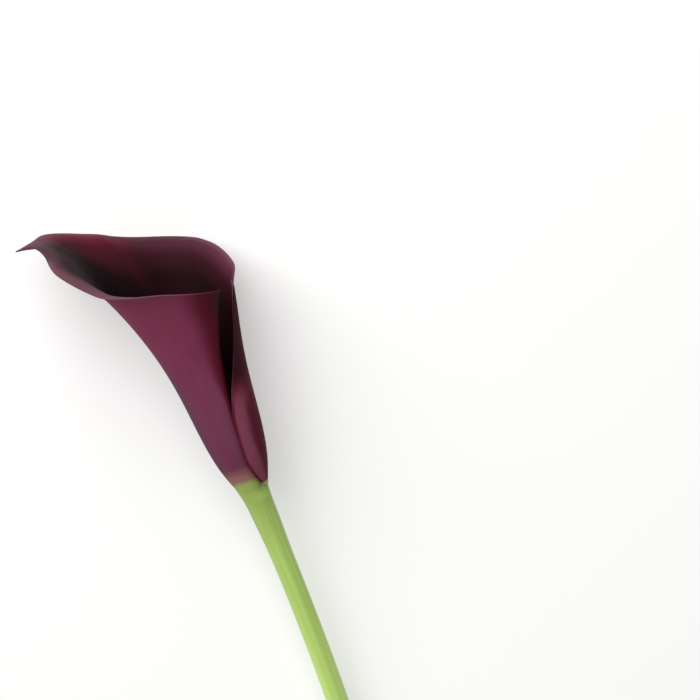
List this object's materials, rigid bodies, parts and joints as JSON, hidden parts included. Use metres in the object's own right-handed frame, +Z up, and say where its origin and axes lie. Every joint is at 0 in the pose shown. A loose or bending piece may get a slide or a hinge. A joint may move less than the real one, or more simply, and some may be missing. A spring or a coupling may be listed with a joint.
{
  "type": "calla lily flower",
  "caption": "Cut calla lily lying on its side: dark plum funnel-shaped spathe with a pointed tip and a rolled rim, spadix inside, on a long slightly bent green stalk.",
  "frame": {"origin": "middle of the bounding box on the surface that the flower lies on", "axes": "+Y along the flower from the cut end to the mouth, +Z up from the surface, -X on the side of the spathe's pointed tip"},
  "size_m": [0.0734, 0.3489, 0.0587],
  "materials": {
    "spathe": "satin, waxy petal tissue, dark plum",
    "spadix": "matt, small packed florets, ochre",
    "stalk": "satin, fresh green stalk"
  },
  "bodies": {
    "root": {"spathe": "spathe", "spadix": "spadix", "stalk": "stalk"}
  },
  "joints": []
}
